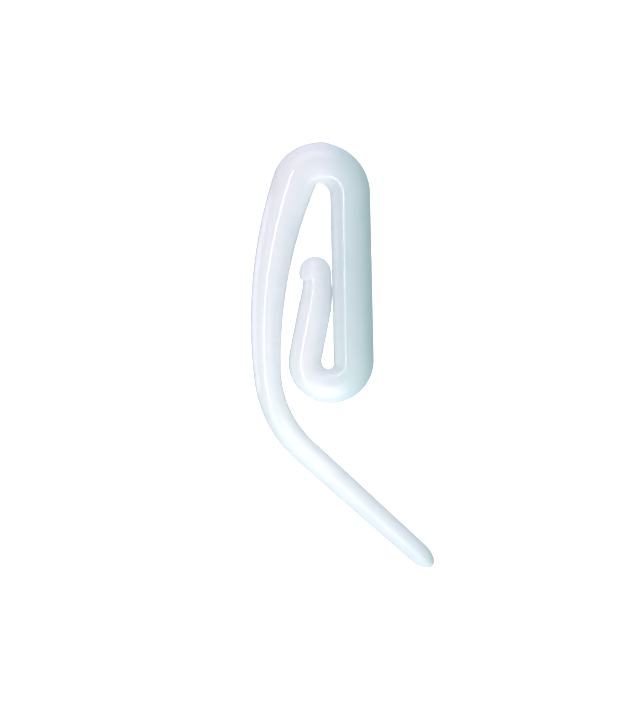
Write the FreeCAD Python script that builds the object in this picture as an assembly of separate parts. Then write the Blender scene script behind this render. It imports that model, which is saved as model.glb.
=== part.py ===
import FreeCAD, Part
import math
import os

# Curtain hook of the snail pattern, moulded in one piece of white nylon.
# One limb of oval section is coiled in the XZ plane. It starts at the bead of the sprung prong,
# goes down and round a U, up the stout shank, over the arch that hangs in a glider,
# down the tapering arm, round the knee and out along the straight tail.
# The origin is on the inside of the arch, at its crest, where the glider's eye bears.
# X points from the arm to the shank, Y is the depth and Z points up along the shank.
# Lengths are in millimetres. Turns are in degrees, anticlockwise as seen along +Y.

# Prong, from its bead down to the U
BEAD_WIDTH = 2.54
BEAD_DEPTH = 2.4
NECK_INSIDE = 0.36
NECK_TURN = 25.0
NECK_WIDTH = 2.24
NECK_DEPTH = 2.2
PRONG_BEND_RADIUS = 9.9
PRONG_LENGTH = 4.05
PRONG_WIDTH = 2.62
PRONG_DEPTH = 2.4

# Gap between the closed prong and the shank, which the heading tape springs open
PRONG_GAP = 0.03

# U under the heading tape
U_INSIDE = 0.35
U_WIDTH = 2.74
U_DEPTH = 2.6

# Shank
SHANK_LENGTH = 13.34
SHANK_WIDTH = 3.2
SHANK_DEPTH = 2.7

# Arch, with a tighter inside on the arm's side of its crest than on the shank's
ARCH_SHANK_INSIDE = 0.82
ARCH_ARM_INSIDE = 0.34
CREST_WIDTH = 3.36
CREST_DEPTH = 2.7
SHOULDER_WIDTH = 3.48
SHOULDER_DEPTH = 2.7

# Arm, and the gap at which it passes the U
ARM_GAP = 0.6
ARM_RADIUS = 37.1
ARM_LENGTH = 15.8
ARM_WIDTH = 2.18
ARM_DEPTH = 2.1

# Knee, tail with its slope from the line of the shank, and the tail's rounded nose
KNEE_RADIUS = 9.06
KNEE_WIDTH = 2.05
KNEE_DEPTH = 2.0
TAIL_SLOPE = 46.8
TAIL_LENGTH = 12.1
TAIL_WIDTH = 1.68
TAIL_DEPTH = 1.68
NOSE_LENGTH = 1.66

# Low button that the trimmed gate leaves beside the crest, an ellipsoid sunk until only its rise shows
GATE_RISE = 0.06
GATE_LENGTH = 3.2
GATE_DEPTH = 2.15
GATE_HEIGHT = 2.4
GATE_TURN = 5.0

# Greatest run and greatest turn between two neighbouring sections of the limb,
# and how closely its surface follows them
SECTION_SPACING = 2.0
SECTION_TURN = 40.0
SURFACE_TOLERANCE = 0.001
ANGLE_TOLERANCE = 0.01

# Rounds that settle the prong's lean, and places on its bend that are measured in each
LEAN_ROUNDS = 12
REACH_STEPS = 20

UPWARD = 90.0
QUARTER_TURN = 90.0
HALF_TURN = 180.0


def bend_radius(inside, *widths):
    """Radius of the limb's centre line, for an inside radius at the widest section of a bend."""
    return inside + max(widths) / 2


NECK_RADIUS = bend_radius(NECK_INSIDE, BEAD_WIDTH, NECK_WIDTH)
U_RADIUS = bend_radius(U_INSIDE, PRONG_WIDTH, U_WIDTH, SHANK_WIDTH)
ARCH_SHANK_RADIUS = bend_radius(ARCH_SHANK_INSIDE, SHANK_WIDTH, CREST_WIDTH)
ARCH_ARM_RADIUS = bend_radius(ARCH_ARM_INSIDE, CREST_WIDTH, SHOULDER_WIDTH)
ARM_TURN = math.degrees(ARM_LENGTH / ARM_RADIUS)


def prong_reach(lean):
    """How far the prong stands out towards the shank, from its centre line at the upright neck."""
    setback = NECK_RADIUS * (1 - math.cos(math.radians(NECK_TURN)))
    reaches = [BEAD_WIDTH / 2 - setback]
    for step in range(REACH_STEPS + 1):
        share = step / REACH_STEPS
        angle = math.radians(lean * share)
        half_width = (NECK_WIDTH + (PRONG_WIDTH - NECK_WIDTH) * share) / 2
        reaches.append(half_width * math.cos(angle) - PRONG_BEND_RADIUS * (1 - math.cos(angle)))
    return max(reaches)


def prong_lean():
    """Turn by which the prong leans towards the shank, so that it stops PRONG_GAP short of it.

    The bend above the prong's straight brings it upright at the neck. How far the bend stands out
    depends on the lean in turn, so the lean is found in a few rounds.
    """
    across = U_RADIUS + PRONG_BEND_RADIUS
    slant = math.atan2(PRONG_LENGTH, across)
    lean = 0.0
    for _ in range(LEAN_ROUNDS):
        from_shank = SHANK_WIDTH / 2 + PRONG_GAP + prong_reach(lean)
        closing = (from_shank - U_RADIUS + PRONG_BEND_RADIUS) / math.hypot(across, PRONG_LENGTH)
        lean = math.degrees(math.acos(closing) - slant)
    return lean


def arch_arm_turn():
    """Turn from the crest to the arm, so that the arm passes the outside of the U at ARM_GAP.

    The U lies inside the circle of the arm, so the gap fixes how far apart their centres are.
    """
    u_outside = U_RADIUS + max(U_WIDTH, PRONG_WIDTH) / 2
    centres = ARM_RADIUS - ARM_WIDTH / 2 - ARM_GAP - u_outside
    across = U_RADIUS - ARCH_SHANK_RADIUS
    up = SHANK_LENGTH + ARCH_SHANK_RADIUS - ARCH_ARM_RADIUS
    reach = math.hypot(across, up)
    swing = ARM_RADIUS - ARCH_ARM_RADIUS
    sine = (centres ** 2 - reach ** 2 - swing ** 2) / (2 * swing * reach)
    return math.degrees(math.atan2(up, across) + math.asin(sine))


def straight(length, width, depth):
    """A straight stretch of the limb, tapering evenly to the given width and depth."""
    return {"length": length, "turn": 0.0, "width": width, "depth": depth, "eased": False}


def bend(radius, turn, width, depth, eased=False):
    """A bent stretch of the limb. An eased one changes its width slowly at both ends."""
    length = radius * math.radians(abs(turn))
    return {"length": length, "turn": turn, "width": width, "depth": depth, "eased": eased}


def prong_stretches():
    """From the bead to the foot of the shank."""
    lean = prong_lean()
    u_turn = HALF_TURN + lean
    return [
        bend(NECK_RADIUS, -NECK_TURN, NECK_WIDTH, NECK_DEPTH, eased=True),
        bend(PRONG_BEND_RADIUS, -lean, PRONG_WIDTH, PRONG_DEPTH),
        straight(PRONG_LENGTH, PRONG_WIDTH, PRONG_DEPTH),
        bend(U_RADIUS, u_turn / 2, U_WIDTH, U_DEPTH),
        bend(U_RADIUS, u_turn / 2, SHANK_WIDTH, SHANK_DEPTH),
    ]


def shank_stretches():
    """From the foot of the shank to the crest of the arch."""
    return [
        straight(SHANK_LENGTH, SHANK_WIDTH, SHANK_DEPTH),
        bend(ARCH_SHANK_RADIUS, QUARTER_TURN, CREST_WIDTH, CREST_DEPTH),
    ]


def arm_stretches():
    """From the crest of the arch to the end of the tail."""
    arch_turn = arch_arm_turn()
    knee_turn = TAIL_SLOPE + QUARTER_TURN - arch_turn - ARM_TURN
    return [
        bend(ARCH_ARM_RADIUS, arch_turn, SHOULDER_WIDTH, SHOULDER_DEPTH),
        bend(ARM_RADIUS, ARM_TURN, ARM_WIDTH, ARM_DEPTH),
        bend(KNEE_RADIUS, knee_turn, KNEE_WIDTH, KNEE_DEPTH),
        straight(TAIL_LENGTH, TAIL_WIDTH, TAIL_DEPTH),
    ]


def walk(start, stretch):
    """Sections along one stretch, each an (x, z, heading, width, depth), with one at its middle."""
    x, z, heading, width, depth = start
    half_runs = math.ceil(stretch["length"] / 2 / SECTION_SPACING)
    half_turns = math.ceil(abs(stretch["turn"]) / 2 / SECTION_TURN)
    steps = 2 * max(half_runs, half_turns)
    step_turn = stretch["turn"] / steps
    chord = stretch["length"] / steps
    if step_turn:
        half_angle = math.radians(step_turn) / 2
        chord *= math.sin(half_angle) / half_angle
    sections = []
    for step in range(1, steps + 1):
        direction = math.radians(heading + step_turn / 2)
        x += chord * math.cos(direction)
        z += chord * math.sin(direction)
        heading += step_turn
        share = step / steps
        if stretch["eased"]:
            share = (1 - math.cos(math.pi * share)) / 2
        step_width = width + (stretch["width"] - width) * share
        step_depth = depth + (stretch["depth"] - depth) * share
        sections.append((x, z, heading, step_width, step_depth))
    return sections


def spine_edge(start, sections, turn):
    """The limb's centre line along one stretch."""
    middle = sections[len(sections) // 2 - 1]
    points = [FreeCAD.Vector(x, 0, z) for x, z, *_ in (start, middle, sections[-1])]
    if turn:
        return Part.Arc(*points).toShape()
    return Part.makeLine(points[0], points[-1])


def follow(start, stretches):
    """Sections and centre line along several stretches, from a section to start with."""
    sections = [start]
    spine = []
    for stretch in stretches:
        run = walk(sections[-1], stretch)
        spine.append(spine_edge(sections[-1], run, stretch["turn"]))
        sections += run
    return sections, spine


def section_matrix(section, length):
    """Sets a unit shape on a section: X across the limb's width, Y its depth and Z along it."""
    x, z, heading, width, depth = section
    along_x = math.cos(math.radians(heading))
    along_z = math.sin(math.radians(heading))
    return FreeCAD.Matrix(
        along_z * width / 2, 0, along_x * length, x,
        0, depth / 2, 0, 0,
        -along_x * width / 2, 0, along_z * length, z,
        0, 0, 0, 1)


def section_wire(section):
    circle = Part.makeCircle(1)
    return Part.Wire([circle.transformGeometry(section_matrix(section, 1))])


def rounded_end(section, length):
    """Half an ellipsoid on a section, ahead of it, or behind it where length is negative."""
    dome = Part.makeSphere(1, FreeCAD.Vector(), FreeCAD.Vector(0, 0, 1), 0, QUARTER_TURN)
    return dome.transformGeometry(section_matrix(section, length))


def limb():
    """The whole limb with its rounded ends, with the inside of its crest at the origin."""
    to_shank = prong_stretches()
    heading = UPWARD - sum(stretch["turn"] for stretch in to_shank)
    bead = (0.0, 0.0, heading, BEAD_WIDTH, BEAD_DEPTH)
    sections, spine = follow(bead, to_shank + shank_stretches())
    crest = sections[-1]
    arm_sections, arm_spine = follow(crest, arm_stretches())
    sections += arm_sections[1:]
    sweep = Part.BRepOffsetAPI.MakePipeShell(Part.Wire(spine + arm_spine))
    sweep.setBiNormalMode(FreeCAD.Vector(0, 1, 0))
    sweep.setTolerance(SURFACE_TOLERANCE, SURFACE_TOLERANCE, ANGLE_TOLERANCE)
    for section in sections:
        sweep.add(section_wire(section), False, False)
    sweep.build()
    sweep.makeSolid()
    head = rounded_end(sections[0], -BEAD_WIDTH / 2)
    nose = rounded_end(sections[-1], NOSE_LENGTH)
    shape = sweep.shape().multiFuse([head, nose])
    shape.translate(FreeCAD.Vector(-crest[0], 0, CREST_WIDTH / 2 - crest[1]))
    return shape


def gate_button():
    """Ellipsoid whose top stands GATE_RISE above the outside of the arch, turned towards the shank."""
    size = FreeCAD.Matrix()
    size.scale(GATE_LENGTH / 2, GATE_DEPTH / 2, GATE_HEIGHT / 2)
    button = Part.makeSphere(1).transformGeometry(size)
    button.translate(FreeCAD.Vector(0, 0, CREST_WIDTH + GATE_RISE - GATE_HEIGHT / 2))
    arch_centre = FreeCAD.Vector(0, 0, CREST_WIDTH / 2 - ARCH_SHANK_RADIUS)
    button.rotate(arch_centre, FreeCAD.Vector(0, 1, 0), GATE_TURN)
    return button


os.makedirs("parts", exist_ok=True)
hook = limb().fuse(gate_button())
hook.exportStep("parts/curtain_hook.step")
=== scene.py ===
import math

import bmesh
import bpy
from mathutils import Matrix, Vector, noise


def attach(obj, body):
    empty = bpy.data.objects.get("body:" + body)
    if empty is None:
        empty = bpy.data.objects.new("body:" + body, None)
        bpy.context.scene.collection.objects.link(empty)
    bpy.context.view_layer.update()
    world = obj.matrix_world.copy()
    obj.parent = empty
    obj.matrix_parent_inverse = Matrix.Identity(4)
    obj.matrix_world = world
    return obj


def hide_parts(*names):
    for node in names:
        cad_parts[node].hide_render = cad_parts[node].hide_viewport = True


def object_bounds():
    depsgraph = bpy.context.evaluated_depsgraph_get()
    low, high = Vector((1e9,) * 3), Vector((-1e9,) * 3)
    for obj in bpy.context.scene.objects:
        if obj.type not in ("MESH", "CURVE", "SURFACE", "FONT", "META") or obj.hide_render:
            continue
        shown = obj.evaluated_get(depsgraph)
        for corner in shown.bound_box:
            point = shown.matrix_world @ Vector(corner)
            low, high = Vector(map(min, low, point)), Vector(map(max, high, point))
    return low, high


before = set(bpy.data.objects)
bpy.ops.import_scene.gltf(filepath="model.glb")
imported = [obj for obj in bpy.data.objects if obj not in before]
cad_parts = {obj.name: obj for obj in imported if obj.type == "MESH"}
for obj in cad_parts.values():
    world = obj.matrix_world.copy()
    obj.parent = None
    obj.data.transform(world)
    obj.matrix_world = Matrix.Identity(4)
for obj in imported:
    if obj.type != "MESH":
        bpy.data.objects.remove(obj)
cad_low, cad_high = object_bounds()

# Sections of the limb in millimetres: width in the plane of the coil, then depth
BEAD_SECTION = (2.54, 2.4)
NECK_SECTION = (2.24, 2.2)
PRONG_SECTION = (2.62, 2.4)
U_SECTION = (2.74, 2.6)
SHANK_SECTION = (3.2, 2.7)
CREST_SECTION = (3.36, 2.7)
SHOULDER_SECTION = (3.48, 2.7)
ARM_SECTION = (2.18, 2.1)
KNEE_SECTION = (2.05, 2.0)
TAIL_SECTION = (1.68, 1.68)

# Centre line of the limb: lengths and radii in millimetres, turns in degrees
NECK_RADIUS = 1.63
NECK_TURN = 25.0
PRONG_BEND_RADIUS = 9.9
PRONG_LEAN = 12.1127
PRONG_LENGTH = 4.05
U_RADIUS = 1.95
SHANK_LENGTH = 13.34
ARCH_SHANK_RADIUS = 2.5
ARCH_ARM_RADIUS = 2.08
ARCH_ARM_TURN = 68.6807
ARM_RADIUS = 37.1
ARM_LENGTH = 15.8
KNEE_RADIUS = 9.06
TAIL_SLOPE = 46.8
TAIL_LENGTH = 12.1
NOSE_LENGTH = 1.66
QUARTER_TURN = 90.0
HALF_TURN = 180.0

# Low button of the trimmed gate beside the crest, in millimetres and degrees
GATE_RISE = 0.06
GATE_SIZE = Vector((3.2, 2.15, 2.4))
GATE_TURN = 5.0

# Parting line round the limb and the gentle waves of its moulded skin, in millimetres
PARTING_HEIGHT = 0.012
PARTING_WIDTH = 0.05
WAVE_HEIGHT = 0.004
WAVE_LENGTH = 2.4

# Mesh of the limb: ring spacing in millimetres, points in a ring, and their crowding at the parting line
RING_SPACING = 0.11
RING_POINTS = 96
RING_CROWDING = 0.6
DOME_RINGS = 18

MILLIMETRE = 0.001

# View of the hook in the photograph, in metres and degrees, and the camera's lens in millimetres
VIEW_HEIGHT = 0.0576
VIEW_CENTRE = Vector((-0.0002, 0.0, -0.01403))
VIEW_ROLL = 1.2337
LENS = 135.0
SENSOR = 36.0

# Painted shade, not the nylon's own colour: a cooler, darker tint at the stout shank, above the tail, and
# towards the nose: fades in metres, and the tint
SHADE_FADE_ACROSS = (-0.0006, 0.003)
SHADE_FADE_UP = (-0.0186, -0.0172)
NOSE_SHADE_FADE = (0.006, 0.01)
PAINTED_SHADE_TINT = (0.78, 0.89, 0.86)

# Stage, in metres, and the glow of its floor and backdrop
FLOOR_DROP = 0.12
FLOOR_RADIUS = 0.7
FLOOR_GLOW = 0.75
BACKDROP_RADIUS = 1.5
BACKDROP_GLOW = 1.1

# Level of the light from each side of the hook
SURROUNDINGS = [
    (Vector((-1, 0, 0)), (0.03, 0.1, 0.04)),
    (Vector((1, 0, 0)), (0.12, 0.25, 0.19)),
    (Vector((0, -1, 0)), (0.65, 0.65, 0.71)),
    (Vector((0, 1, 0)), (0.35, 0.42, 0.46)),
    (Vector((0, 0, -1)), (1.22, 1.3, 1.48)),
    (Vector((0, 0, 1)), (0.9, 0.95, 1.15)),
]


def straight(length, section):
    """A straight stretch of the limb that ends with a section."""
    return length, 0.0, section, False


def bend(radius, turn, section, eased=False):
    """A bent stretch of the limb. An eased one changes its width slowly at both ends."""
    return radius * math.radians(abs(turn)), turn, section, eased


def limb_stretches():
    """From the bead down the prong, round the U, up the shank and over the arch to the end of the tail."""
    half_u_turn = (HALF_TURN + PRONG_LEAN) / 2
    arm_turn = math.degrees(ARM_LENGTH / ARM_RADIUS)
    knee_turn = TAIL_SLOPE + QUARTER_TURN - ARCH_ARM_TURN - arm_turn
    return [
        bend(NECK_RADIUS, -NECK_TURN, NECK_SECTION, eased=True),
        bend(PRONG_BEND_RADIUS, -PRONG_LEAN, PRONG_SECTION),
        straight(PRONG_LENGTH, PRONG_SECTION),
        bend(U_RADIUS, half_u_turn, U_SECTION),
        bend(U_RADIUS, half_u_turn, SHANK_SECTION),
        straight(SHANK_LENGTH, SHANK_SECTION),
        bend(ARCH_SHANK_RADIUS, QUARTER_TURN, CREST_SECTION),
        bend(ARCH_ARM_RADIUS, ARCH_ARM_TURN, SHOULDER_SECTION),
        bend(ARM_RADIUS, arm_turn, ARM_SECTION),
        bend(KNEE_RADIUS, knee_turn, KNEE_SECTION),
        straight(TAIL_LENGTH, TAIL_SECTION),
    ]


def walk(start, length, turn, section, eased):
    """Stations along one stretch, each an (x, z, heading, width, depth)."""
    x, z, heading, width, depth = start
    steps = math.ceil(length / RING_SPACING)
    step_turn = turn / steps
    chord = length / steps
    if turn:
        half_angle = math.radians(step_turn) / 2
        chord *= math.sin(half_angle) / half_angle
    stations = []
    for step in range(1, steps + 1):
        direction = math.radians(heading + step_turn / 2)
        x += chord * math.cos(direction)
        z += chord * math.sin(direction)
        heading += step_turn
        share = step / steps
        if eased:
            share = (1 - math.cos(math.pi * share)) / 2
        step_width = width + (section[0] - width) * share
        step_depth = depth + (section[1] - depth) * share
        stations.append((x, z, heading, step_width, step_depth))
    return stations


def limb_stations():
    """Stations along the whole limb, with the inside of its crest at the origin."""
    stretches = limb_stretches()
    crest_count = stretches.index(next(s for s in stretches if s[2] == CREST_SECTION)) + 1
    heading = HALF_TURN - sum(turn for _, turn, _, _ in stretches[:crest_count])
    stations = [(0.0, 0.0, heading, *BEAD_SECTION)]
    for count, stretch in enumerate(stretches, start=1):
        stations += walk(stations[-1], *stretch)
        if count == crest_count:
            crest = stations[-1]
    shift_x = -crest[0]
    shift_z = CREST_SECTION[0] / 2 - crest[1]
    return [(x + shift_x, z + shift_z, *rest) for x, z, *rest in stations]


def ring(station, along=0.0, scale=1.0):
    """Points round a section, shifted along the limb and shrunk where it is part of a rounded end."""
    x, z, heading, width, depth = station
    ahead = Vector((math.cos(math.radians(heading)), 0, math.sin(math.radians(heading))))
    across = Vector((ahead.z, 0, -ahead.x))
    centre = Vector((x, 0, z)) + ahead * along
    points = []
    for index in range(RING_POINTS):
        turn = 2 * math.pi * index / RING_POINTS
        angle = turn - RING_CROWDING * math.sin(2 * turn) / 2
        out = across * (width / 2 * math.cos(angle))
        out.y = depth / 2 * math.sin(angle)
        points.append(centre + out * scale)
    return points


def dome(station, length):
    """Rings of a rounded end, from the section that it stands on to near its pole, and the pole."""
    rings = []
    for step in range(1, DOME_RINGS):
        angle = math.radians(QUARTER_TURN) * step / DOME_RINGS
        rings.append(ring(station, length * math.sin(angle), math.cos(angle)))
    return rings, ring(station, length, 0.0)[0]


def limb_mesh():
    """Mesh of quads along the limb, closed by its two rounded ends, in millimetres."""
    stations = limb_stations()
    head, head_pole = dome(stations[0], -BEAD_SECTION[0] / 2)
    nose, nose_pole = dome(stations[-1], NOSE_LENGTH)
    rings = head[::-1] + [ring(station) for station in stations] + nose
    points = [point for points in rings for point in points] + [head_pole, nose_pole]
    head_index = len(points) - 2
    nose_index = len(points) - 1
    last = (len(rings) - 1) * RING_POINTS
    faces = []
    for index in range(RING_POINTS):
        following = (index + 1) % RING_POINTS
        for row in range(0, last, RING_POINTS):
            above = row + RING_POINTS
            faces.append((row + index, row + following, above + following, above + index))
        faces.append((head_index, following, index))
        faces.append((nose_index, last + index, last + following))
    mesh = bpy.data.meshes.new("curtain_hook_skin")
    mesh.from_pydata(points, [], faces)
    return mesh


def raise_gate(mesh):
    """Lifts what lies inside the gate button's ellipsoid to its surface."""
    crest_height = CREST_SECTION[0]
    arch_centre = Vector((0, 0, crest_height / 2 - ARCH_SHANK_RADIUS))
    centre = Vector((0, 0, crest_height + GATE_RISE - GATE_SIZE.z / 2))
    turn = Matrix.Rotation(math.radians(GATE_TURN), 3, "Y")
    centre = arch_centre + turn @ (centre - arch_centre)
    for vertex in mesh.vertices:
        inside = turn.transposed() @ (vertex.co - centre)
        reach = Vector(2 * a / b for a, b in zip(inside, GATE_SIZE)).length
        if reach < 1:
            vertex.co = centre + (vertex.co - centre) / reach


def mould_skin(mesh):
    """Raises the parting line where the mould's halves met, and the gentle waves of the skin."""
    normals = [vertex.normal.copy() for vertex in mesh.vertices]
    for vertex, normal in zip(mesh.vertices, normals):
        parting = PARTING_HEIGHT * math.exp(-(vertex.co.y / PARTING_WIDTH) ** 2)
        wave = WAVE_HEIGHT * noise.noise(vertex.co / WAVE_LENGTH)
        vertex.co += normal * (parting + wave)


def curtain_hook(material):
    """The hook's finished skin, in the place of its solid."""
    mesh = limb_mesh()
    raise_gate(mesh)
    mould_skin(mesh)
    mesh.transform(Matrix.Scale(MILLIMETRE, 4))
    mesh.shade_smooth()
    mesh.materials.append(material)
    hook = bpy.data.objects.new("curtain_hook_skin", mesh)
    bpy.context.scene.collection.objects.link(hook)
    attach(hook, "root")
    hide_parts("curtain_hook")


def white_nylon():
    """Glossy, slightly translucent moulded nylon, faintly mottled and rippled, with painted shade on the
    stout shank and towards the nose.
    """
    material = bpy.data.materials.new("white_nylon")
    material.use_nodes = True
    nodes = material.node_tree.nodes
    links = material.node_tree.links
    shader = nodes["Principled BSDF"]
    shader.inputs["IOR"].default_value = 1.53
    shader.inputs["Specular IOR Level"].default_value = 1.0
    shader.inputs["Subsurface Weight"].default_value = 0.9
    shader.inputs["Subsurface Radius"].default_value = (1.0, 1.0, 1.0)
    shader.inputs["Subsurface Scale"].default_value = 0.0011
    place = nodes.new("ShaderNodeTexCoord").outputs["Object"]

    def grain(size, detail):
        """Noise whose blotches are about a size in metres."""
        node = nodes.new("ShaderNodeTexNoise")
        node.inputs["Scale"].default_value = 1 / size
        node.inputs["Detail"].default_value = detail
        links.new(place, node.inputs["Vector"])
        return node.outputs["Fac"]

    mottle = nodes.new("ShaderNodeValToRGB")
    mottle.color_ramp.elements[0].position = 0.3
    mottle.color_ramp.elements[0].color = (0.88, 0.91, 0.93, 1)
    mottle.color_ramp.elements[1].position = 0.7
    mottle.color_ramp.elements[1].color = (0.92, 0.92, 0.95, 1)
    links.new(grain(0.0016, 3.0), mottle.inputs["Fac"])

    def fade(distance, start, end):
        """Smooth rise from none at the start to full at the end."""
        node = nodes.new("ShaderNodeMapRange")
        node.interpolation_type = "SMOOTHSTEP"
        node.inputs["From Min"].default_value = start
        node.inputs["From Max"].default_value = end
        links.new(distance, node.inputs["Value"])
        return node.outputs["Result"]

    # Painted shade: the base colour is tinted cooler and darker on the stout shank and towards the nose,
    # standing in for the shade that falls there
    axes = nodes.new("ShaderNodeSeparateXYZ")
    links.new(place, axes.inputs["Vector"])
    shank_shade = nodes.new("ShaderNodeMath")
    shank_shade.operation = "MULTIPLY"
    links.new(fade(axes.outputs["X"], *SHADE_FADE_ACROSS), shank_shade.inputs[0])
    links.new(fade(axes.outputs["Z"], *SHADE_FADE_UP), shank_shade.inputs[1])
    painted_shade = nodes.new("ShaderNodeMath")
    painted_shade.operation = "MAXIMUM"
    links.new(shank_shade.outputs["Value"], painted_shade.inputs[0])
    links.new(fade(axes.outputs["X"], *NOSE_SHADE_FADE), painted_shade.inputs[1])
    shaded_colour = nodes.new("ShaderNodeMix")
    shaded_colour.data_type = "RGBA"
    shaded_colour.blend_type = "MULTIPLY"
    shaded_colour.inputs["B"].default_value = (*PAINTED_SHADE_TINT, 1)
    links.new(painted_shade.outputs["Value"], shaded_colour.inputs["Factor"])
    links.new(mottle.outputs["Color"], shaded_colour.inputs["A"])
    links.new(shaded_colour.outputs["Result"], shader.inputs["Base Color"])

    gloss = nodes.new("ShaderNodeMapRange")
    gloss.inputs["To Min"].default_value = 0.12
    gloss.inputs["To Max"].default_value = 0.18
    links.new(grain(0.0007, 2.0), gloss.inputs["Value"])
    links.new(gloss.outputs["Result"], shader.inputs["Roughness"])

    ripple = nodes.new("ShaderNodeBump")
    ripple.inputs["Distance"].default_value = 0.000006
    links.new(grain(0.0009, 1.0), ripple.inputs["Height"])
    fine = nodes.new("ShaderNodeBump")
    fine.inputs["Distance"].default_value = 0.0000026
    links.new(grain(0.0002, 2.0), fine.inputs["Height"])
    links.new(ripple.outputs["Normal"], fine.inputs["Normal"])
    links.new(fine.outputs["Normal"], shader.inputs["Normal"])
    return material


def camera():
    """Camera square to the plane of the coil, rolled as the photograph is."""
    roll = math.radians(VIEW_ROLL)
    right = Vector((math.cos(roll), 0, -math.sin(roll)))
    up = Vector((math.sin(roll), 0, math.cos(roll)))
    back = Vector((0, -1, 0))
    data = bpy.data.cameras.new("camera")
    data.lens = LENS
    data.sensor_width = SENSOR
    data.clip_start = 0.001
    distance = VIEW_HEIGHT * LENS / SENSOR
    place = VIEW_CENTRE + back * distance
    camera_object = bpy.data.objects.new("camera", data)
    turn = Matrix((right, up, back)).transposed().to_4x4()
    camera_object.matrix_world = Matrix.Translation(place) @ turn
    bpy.context.scene.collection.objects.link(camera_object)
    bpy.context.scene.camera = camera_object


def softbox(name, place, aim, size, levels, roll=0.0, spread=HALF_TURN):
    """Area light at a place, facing an aim, in millimetres and degrees. The camera doesn't see it."""
    back = (Vector(place) - Vector(aim)).normalized()
    width, height = (side * MILLIMETRE for side in size)
    level = max(levels)
    data = bpy.data.lights.new(name, "AREA")
    data.shape = "RECTANGLE"
    data.size = width
    data.size_y = height
    data.energy = level * math.pi ** 2 * width * height
    data.spread = math.radians(spread)
    data.color = [channel / level for channel in levels]
    light = bpy.data.objects.new(name, data)
    turn = back.to_track_quat("Z", "Y").to_matrix() @ Matrix.Rotation(math.radians(roll), 3, "Z")
    light.matrix_world = Matrix.Translation(Vector(place) * MILLIMETRE) @ turn.to_4x4()
    light.visible_camera = False
    bpy.context.scene.collection.objects.link(light)


def stage_piece(name, mesh, material):
    """Floor or backdrop that only the camera sees, so that it adds no light of its own to the hook."""
    mesh.materials.append(material)
    piece = bpy.data.objects.new(name, mesh)
    piece.visible_diffuse = False
    piece.visible_glossy = False
    piece.visible_transmission = False
    piece.visible_shadow = False
    bpy.context.scene.collection.objects.link(piece)
    return piece


def studio_white(name, glow):
    """Matt white that glows a little, as a lit backdrop does."""
    material = bpy.data.materials.new(name)
    material.use_nodes = True
    shader = material.node_tree.nodes["Principled BSDF"]
    shader.inputs["Base Color"].default_value = (0.8, 0.8, 0.8, 1)
    shader.inputs["Roughness"].default_value = 1.0
    shader.inputs["Emission Color"].default_value = (1, 1, 1, 1)
    shader.inputs["Emission Strength"].default_value = glow
    return material


def backdrop():
    """White all round, and a pale floor below the hook."""
    ball = bmesh.new()
    bmesh.ops.create_uvsphere(ball, u_segments=48, v_segments=24, radius=BACKDROP_RADIUS)
    bmesh.ops.reverse_faces(ball, faces=ball.faces)
    mesh = bpy.data.meshes.new("backdrop")
    ball.to_mesh(mesh)
    ball.free()
    mesh.shade_smooth()
    stage_piece("backdrop", mesh, studio_white("backdrop_white", BACKDROP_GLOW))
    disc = bmesh.new()
    bmesh.ops.create_circle(disc, cap_ends=True, segments=96, radius=FLOOR_RADIUS)
    mesh = bpy.data.meshes.new("floor")
    disc.to_mesh(mesh)
    disc.free()
    floor = stage_piece("floor", mesh, studio_white("floor_white", FLOOR_GLOW))
    floor.location.z = cad_low.z - FLOOR_DROP


def surroundings():
    """Light from all round, which fades from each side's level to the next one's."""
    world = bpy.data.worlds.new("surroundings")
    world.use_nodes = True
    nodes = world.node_tree.nodes
    links = world.node_tree.links
    direction = nodes.new("ShaderNodeTexCoord").outputs["Generated"]
    background = nodes["Background"]
    total = None
    for side, level in SURROUNDINGS:
        facing = nodes.new("ShaderNodeVectorMath")
        facing.operation = "DOT_PRODUCT"
        facing.inputs[1].default_value = side
        links.new(direction, facing.inputs[0])
        ahead = nodes.new("ShaderNodeMath")
        ahead.operation = "MAXIMUM"
        ahead.inputs[1].default_value = 0.0
        links.new(facing.outputs["Value"], ahead.inputs[0])
        share = nodes.new("ShaderNodeMath")
        share.operation = "POWER"
        share.inputs[1].default_value = 2.0
        links.new(ahead.outputs["Value"], share.inputs[0])
        glow = nodes.new("ShaderNodeVectorMath")
        glow.operation = "SCALE"
        glow.inputs[0].default_value = level
        links.new(share.outputs["Value"], glow.inputs["Scale"])
        if total:
            both = nodes.new("ShaderNodeVectorMath")
            links.new(total, both.inputs[0])
            links.new(glow.outputs["Vector"], both.inputs[1])
            total = both.outputs["Vector"]
        else:
            total = glow.outputs["Vector"]
    links.new(total, background.inputs["Color"])
    bpy.context.scene.world = world


def studio():
    """A strip draws the highlights along the limb, and panels light the rest, some of them close by."""
    softbox("arm_strip", (-7.7, -14, -7), (-3, 0, -7), (0.8, 24), (2.9, 2.5, 2.65), roll=-7)
    softbox("tail_panel", (2.7, -14, -32.3), (6, 0, -28.7), (22, 7), (0.41, 0.43, 0.42), roll=-47)
    softbox("knee_panel", (-12, -14, -27), (-3, 0, -19), (12, 9), (0.2, 0.34, 0.22), roll=-60)
    softbox("u_panel", (0.5, -8, -19.3), (1, 0, -18.3), (6, 4), (0.38, 0.33, 0.28))
    softbox("crest_panel", (4.2, -3.5, -3.9), (-0.8, -1.1, 0.3), (2, 6), (0.05, 0.05, 0.05), spread=50)
    softbox("arch_panel", (-3, -14, 15), (-0.5, 0, 2), (18, 12), (0.27, 0.2, 0.2))
    softbox("left_panel", (-48, 8, -6), (-5, 0, -8), (40, 40), (0.41, 0.36, 0.44))
    softbox("back_panel", (0, 60, -14), (0, 0, -14), (30, 40), (0.8, 0.8, 0.85))
    bpy.context.scene.view_settings.view_transform = "Standard"


curtain_hook(white_nylon())
camera()
backdrop()
surroundings()
studio()
